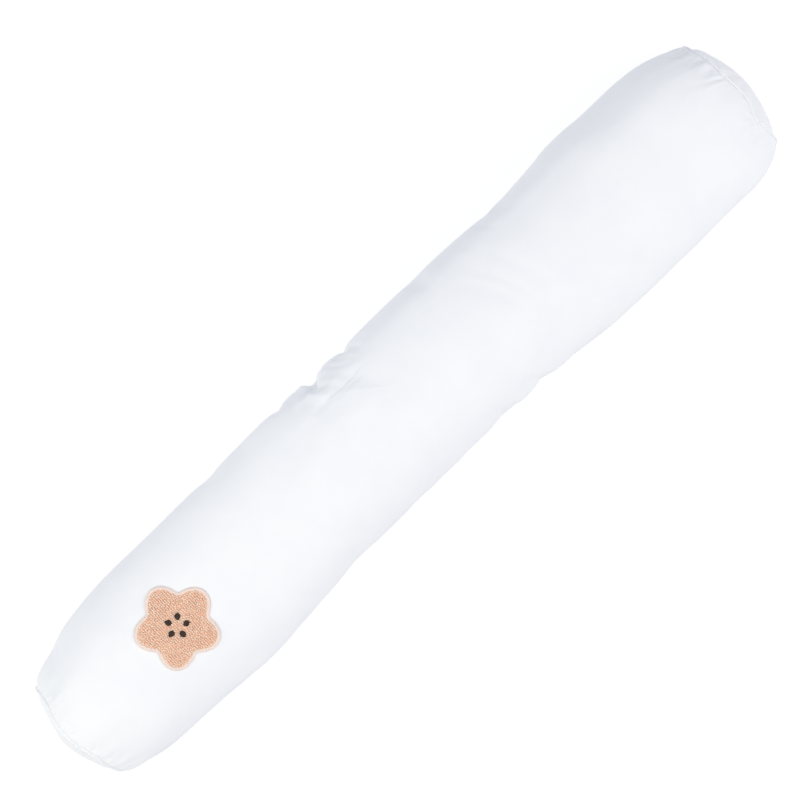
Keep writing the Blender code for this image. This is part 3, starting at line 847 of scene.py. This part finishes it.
def make_body(cotton):
    """The filled tube of cloth, with its seam lips, closed behind the end panels."""
    skin, girth, whole = make_skin()
    before = ring_rows(skin[0], -1, LIP_STEPS)[::-1]
    after = ring_rows(skin[-1], 1, LIP_STEPS)
    grid = np.array([*before, *skin, *after])
    poles = [before[0].mean(0), after[-1].mean(0)]
    points = np.concatenate([grid.reshape(-1, 3), poles])
    body = mesh_object("bolster_cloth", points, closed_faces(len(grid), COLUMNS), cotton)
    lips = len(LIP_STEPS)
    wide = np.pad(girth, ((lips, lips), (0, 0)), "edge")
    lengths = np.pad(whole, ((lips, lips), (0, 0)), "edge")
    add_cloth_map(body.data, grid[..., 0], wide, lengths)
    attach(body, "root")
    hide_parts("bolster_body")
    return body, skin


def make_end_panel(node, skin, side, cotton):
    """The round panel sewn inside a ring, crowned by the filling."""
    last = skin[0] if side < 0 else skin[-1]
    surface = panel_surface(node, last, side)
    rim = ring_rows(last, side, PANEL_RIM_STEPS)
    grid = np.array([*surface, *rim])
    inside = grid.copy()
    inside[..., 0] -= side * PANEL_THICKNESS
    pole = surface[0].mean(0)
    both = np.concatenate([grid, inside[::-1]])
    points = np.concatenate([both.reshape(-1, 3), [pole, pole - np.array([side * PANEL_THICKNESS, 0, 0])]])
    name = node.replace("end_panel", "end_cloth")
    panel = mesh_object(name, points, closed_faces(len(both), COLUMNS, flip=side > 0), cotton)
    layer = panel.data.uv_layers.new(name="cloth")
    index = np.empty(len(panel.data.loops), np.int32)
    panel.data.loops.foreach_get("vertex_index", index)
    layer.data.foreach_set("uv", points[index][:, 1:].astype(np.float32).reshape(-1))
    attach(panel, "root")
    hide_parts(node)
    return panel


def crown_field(body):
    """Heights and slopes of the tube's cloth on an even grid of the floor plan, round the patch's middle."""
    tree = tree_of(body)
    count = int(FIELD_SPAN * PETAL_REACH / FIELD_STEP)
    places = (np.arange(count) - (count - 1) / 2) * FIELD_STEP
    heights = np.array([[tree.ray_cast(Vector((PATCH_X + x, y, RAY_START)), Vector((0, 0, -1)))[0].z for y in places]
                        for x in places])
    slope_x, slope_y = np.gradient(heights, FIELD_STEP)
    return places[0], heights, slope_x, slope_y


def on_crown(field, x, y, height):
    """Points this far above the cloth, square to it, over places of the floor plan."""
    start, heights, slope_x, slope_y = field
    i, j = (x - PATCH_X - start) / FIELD_STEP, (y - start) / FIELD_STEP
    a, b = (np.clip(np.floor(k).astype(int), 0, len(heights) - 2) for k in (i, j))
    s, t = i - a, j - b

    def at(grid):
        return (grid[a, b] * (1 - s) * (1 - t) + grid[a + 1, b] * s * (1 - t) + grid[a, b + 1] * (1 - s) * t
                + grid[a + 1, b + 1] * s * t)

    normals = unit(np.stack([-at(slope_x), -at(slope_y), np.ones(np.shape(x))], -1))
    return np.stack([x, y, at(heights)], -1) + normals * np.asarray(height)[..., None], normals


def petal_radius(angle):
    """Distance of the patch's edge from its middle."""
    wave = np.sqrt(np.cos(PETALS * (angle - PATCH_TURN) / 2) ** 2 + NOTCH_SOFTNESS)
    low, high = math.sqrt(NOTCH_SOFTNESS), math.sqrt(1 + NOTCH_SOFTNESS)
    return PETAL_NOTCH + (PETAL_REACH - PETAL_NOTCH) * (wave - low) / (high - low)


def petal_line(angle, outside):
    """Places of a line this far outside the patch's edge, and the edge's own direction there."""
    def edge(a):
        return np.stack([np.cos(a), np.sin(a)], -1) * petal_radius(a)[..., None]

    step = 0.001
    along = unit(edge(angle + step) - edge(angle - step))
    sideways = np.stack([along[..., 1], -along[..., 0]], -1)
    return edge(angle) + sideways * np.asarray(outside)[..., None] + (PATCH_X, 0), along


def tubes(paths, across, radius, sides):
    """Points and faces of many thin tubes. Each path's plane is square to its across direction."""
    count, steps, _ = paths.shape
    along = unit(np.gradient(paths, axis=1))
    up = unit(np.cross(along, across[:, None]))
    side = np.cross(up, along)
    turn = np.arange(sides) / sides * math.tau
    ring = np.cos(turn)[:, None] * side[:, :, None] + np.sin(turn)[:, None] * up[:, :, None]
    points = paths[:, :, None] + ring * np.reshape(radius, (-1, 1, 1, 1))
    faces = np.array(grid_faces(steps, sides))
    faces = faces[None] + (np.arange(count) * steps * sides)[:, None, None]
    return points.reshape(-1, 3), faces.reshape(-1, 4).tolist()


def make_terry_base(field, finish):
    """The ground cloth of the terry patch, a thin sheet on the crown."""
    segments, half = 160, 24
    angles = -np.arange(segments) / segments * math.tau
    shares = np.sin(np.linspace(BASE_START, 0.5, half) * math.pi)
    shares = np.concatenate([shares, shares[::-1]])[:, None]
    heights = np.concatenate([np.full(half, BASE_HEIGHT), np.full(half, BASE_UNDERSIDE)])
    heights[half - len(BASE_EDGE_SHARES):half] *= BASE_EDGE_SHARES
    radius = petal_radius(angles) * shares
    grid, _ = on_crown(field, PATCH_X + radius * np.cos(angles), radius * np.sin(angles),
                       np.repeat(heights[:, None], segments, 1))
    points = np.concatenate([grid.reshape(-1, 3), [grid[0].mean(0), grid[-1].mean(0)]])
    base = mesh_object("terry_ground", points, closed_faces(2 * half, segments), finish)
    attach(base, "root")
    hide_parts("flower_patch")
    return base


def seed_places():
    """Middle and radial direction of each stitched seed, in the floor plan."""
    angles = PATCH_TURN + math.tau * (np.arange(PETALS) + 0.5) / PETALS
    out = np.stack([np.cos(angles), np.sin(angles)], -1)
    return out * SEED_RING + (PATCH_X, 0), out


def make_terry_loops(field, finish):
    """The looped pile: rows of small upright loops, pressed down by the stitches."""
    rows = np.arange(-PETAL_REACH, PETAL_REACH, LOOP_ROWS)
    steps = np.arange(-PETAL_REACH, PETAL_REACH, LOOP_STEP)
    x, y = (grid.reshape(-1) for grid in np.meshgrid(rows, steps, indexing="ij"))
    x = x + rng.normal(0, LOOP_STRAY[0], x.shape)
    y = y + LOOP_STEP * 0.5 * (np.round(x / LOOP_ROWS) % 2) + rng.normal(0, LOOP_STRAY[1], y.shape)
    edge = petal_radius(np.arctan2(y, x)) - np.hypot(x, y)
    x, y, edge = (values[edge > LOOP_MARGIN] for values in (x, y, edge))
    middles, _ = seed_places()
    to_seed = np.hypot(x[:, None] + PATCH_X - middles[:, 0], y[:, None] - middles[:, 1]).min(1)
    (seed_press, seed_reach), (edge_press, edge_reach) = SEED_PRESS, EDGE_PRESS
    press = 1 - seed_press * np.exp(-((to_seed / seed_reach) ** 4)) - edge_press * bell(edge / edge_reach)
    count = len(x)
    foot, up = on_crown(field, x + PATCH_X, y, np.full(count, 0.5 * BASE_HEIGHT))
    turn = rng.normal(math.pi / 2, LOOP_TURN, count)
    along = np.stack([np.cos(turn), np.sin(turn), np.zeros(count)], -1)
    across = unit(np.cross(up, along))
    along = np.cross(across, up)
    lean_along, lean_across = rng.normal(0, LOOP_LEAN, count), rng.normal(0, LOOP_LEAN, count)
    high = LOOP_HEIGHT * press * rng.uniform(*LOOP_HEIGHT_SPREAD, count)
    half = rng.uniform(*LOOP_HALF_SPANS, count) * MM
    foot_width, wider = LOOP_WIDTHS
    swing = np.linspace(0, math.pi, 8)[None]
    rise = np.sin(swing) ** LOOP_ROUNDNESS
    paths = (foot[:, None]
             + along[:, None] * (half[:, None] * np.cos(swing) * (foot_width + wider * rise)
                                 + lean_along[:, None] * rise)[..., None]
             + across[:, None] * (lean_across[:, None] * rise + LOOP_TWIST * np.cos(swing))[..., None]
             + up[:, None] * (high[:, None] * rise)[..., None])
    points, faces = tubes(paths, across, rng.uniform(*LOOP_YARN_SPREAD, count) * LOOP_YARN, 6)
    loops = mesh_object("terry_loops", points, faces, finish)
    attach(loops, "root")
    return loops


def make_satin_edge(field, finish):
    """The dense satin stitch over the patch's edge: a thread for each stitch, over a padded core."""
    angles = np.linspace(0, math.tau, 2001)
    line, _ = petal_line(angles, np.full(len(angles), SATIN_MIDDLE))
    length = np.concatenate([[0], np.cumsum(np.linalg.norm(np.diff(line, axis=0), axis=1))])
    count = int(length[-1] / SATIN_STEP)

    def arch(turns, lower):
        swing = np.linspace(-SATIN_WRAP, SATIN_WRAP, SATIN_POINTS)
        wide = (SATIN_HALF_WIDTH - lower) * np.sin(swing) + SATIN_MIDDLE
        high = (SATIN_RISE - lower) * np.sign(np.cos(swing)) * np.abs(np.cos(swing)) ** SATIN_FLATNESS
        around = np.repeat(turns[:, None], SATIN_POINTS, 1)
        uneven = rng.normal(0, SATIN_STRAY, (len(turns), 1)) if lower == 0 else 0
        place, along = petal_line(around, wide[None] + np.sin(swing) * uneven)
        place = place + along * (SATIN_SLANT * np.sin(swing))[None, :, None]
        points, _ = on_crown(field, place[..., 0], place[..., 1], np.broadcast_to(high, around.shape))
        return points, along

    numbers = np.arange(count) + rng.uniform(-SATIN_UNEVEN, SATIN_UNEVEN, count)
    turns = np.interp(numbers * length[-1] / count, length, angles)
    threads, along = arch(turns, 0)
    across = np.concatenate([along[:, SATIN_POINTS // 2], np.zeros((count, 1))], 1)
    points, faces = tubes(threads, across, rng.uniform(*SATIN_THREAD_SPREAD, count) * SATIN_THREAD, 6)
    core, _ = arch(turns[::3], SATIN_CORE_DROP)
    core = np.swapaxes(core, 0, 1)
    faces += (np.array(grid_faces(*core.shape[:2])) + len(points)).tolist()
    edge = mesh_object("satin_edge", np.concatenate([points, core.reshape(-1, 3)]), faces, finish)
    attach(edge, "root")
    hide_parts("patch_edging")
    return edge


def make_seed_stitches(field, finish):
    """The five seeds, each of strands laid side by side over the pressed terry."""
    strands, sideways = [], []
    (half_length, half_width), (foot, dome, dip) = SEED_HALF_SIZE, SEED_HEIGHTS
    run = np.linspace(-1, 1, 11)
    for middle, out in zip(*seed_places()):
        aside = np.array([-out[1], out[0]])
        for share in np.linspace(-SEED_SPREAD, SEED_SPREAD, SEED_STRANDS):
            room = math.sqrt(1 - share * share)
            long = half_length * room * rng.uniform(*SEED_LENGTHS)
            bow = share * half_width * (1 - SEED_CLOSING * run * run)
            place = middle + out * (run * long)[:, None] + aside * bow[:, None]
            swell = dome * room * np.sqrt(1 - SEED_ROUNDNESS * run * run)
            high = BASE_HEIGHT + (foot + swell - dip * run**6) * MM
            points, _ = on_crown(field, place[:, 0], place[:, 1], high)
            strands.append(points)
            sideways.append([*aside, 0])
    points, faces = tubes(np.array(strands), np.array(sideways), SEED_THREAD, 7)
    seeds = mesh_object("seed_stitches", points, faces, finish)
    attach(seeds, "root")
    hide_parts(*(f"stitched_seed_{number}" for number in range(1, PETALS + 1)))
    return seeds


def make_ladder_stitches(body, finish):
    """The hand stitches that close the opening in the tube's own seam."""
    tree = tree_of(body)
    stitches = []
    for x in range(OPENING[0], OPENING[1] + 1, LADDER_STEP):
        path = []
        for share in np.linspace(-1, 1, 7):
            angle = math.radians(SEAM_DEGREES + LADDER_REACH * share)
            out = Vector((0, math.cos(angle), math.sin(angle)))
            station = x + LADDER_SLANT * share + rng.normal(0, LADDER_STRAY)
            start = Vector((station * MM, 0, WAIST_HEIGHT)) + out * RAY_START
            place, normal, *_ = tree.ray_cast(start, -out)
            path.append(place + normal * (LADDER_RISE * (1 - share * share) - LADDER_ENDS) * MM)
        stitches.append(path)
    across = np.tile((1.0, 0, 0), (len(stitches), 1))
    points, faces = tubes(np.array(stitches), across, LADDER_THREAD, 7)
    ladder = mesh_object("opening_stitches", points, faces, finish)
    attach(ladder, "root")


def make_floor():
    """A wide white sweep under the pillow, lit a little from within like a light table."""
    reach = 30
    corners = [(-reach, -reach, 0), (reach, -reach, 0), (reach, reach, 0), (-reach, reach, 0)]
    made, _, principled = shader("pale_floor", (0.23, 0.23, 0.23), 0.9)
    principled.inputs["Emission Color"].default_value = (1, 1, 1, 1)
    principled.inputs["Emission Strength"].default_value = FLOOR_GLOW
    floor = mesh_object("floor", np.array(corners), [(0, 1, 2, 3)], made)


def make_light():
    """The soft boxes, with a pale surround."""
    world = bpy.data.worlds.new("world")
    bpy.context.scene.world = world
    world.use_nodes = True
    background = world.node_tree.nodes["Background"].inputs
    background["Color"].default_value = (*WORLD_COLOUR, 1)
    background["Strength"].default_value = WORLD_STRENGTH
    for name, place, size, power, colour in SOFT_BOXES:
        light = bpy.data.lights.new(name, "AREA")
        light.energy = power
        light.shape = "DISK"
        light.size = size
        light.color = colour
        lamp = placed(name, light)
        lamp.location = place
        lamp.rotation_euler = (Vector((0, 0, 0.05)) - lamp.location).to_track_quat("-Z", "Y").to_euler()
        lamp.visible_camera = False
    bpy.context.scene.view_settings.view_transform = "Standard"


def main():
    make_camera()
    cotton = cotton_material()
    terry, ground, cream, brown = (yarn_material(name, *looks) for name, looks in YARNS.items())
    body, skin = make_body(cotton)
    for node, side in (("end_panel_left", -1), ("end_panel_right", 1)):
        panel = make_end_panel(node, skin, side, cotton)
    field = crown_field(body)
    # the ground cloth's finish is the tan painted darker, as painted shade between the loops
    base = make_terry_base(field, ground)
    trim = [make_terry_loops(field, terry), make_satin_edge(field, cream), make_seed_stitches(field, brown)]
    make_ladder_stitches(body, cotton)
    make_floor()
    make_light()


main()
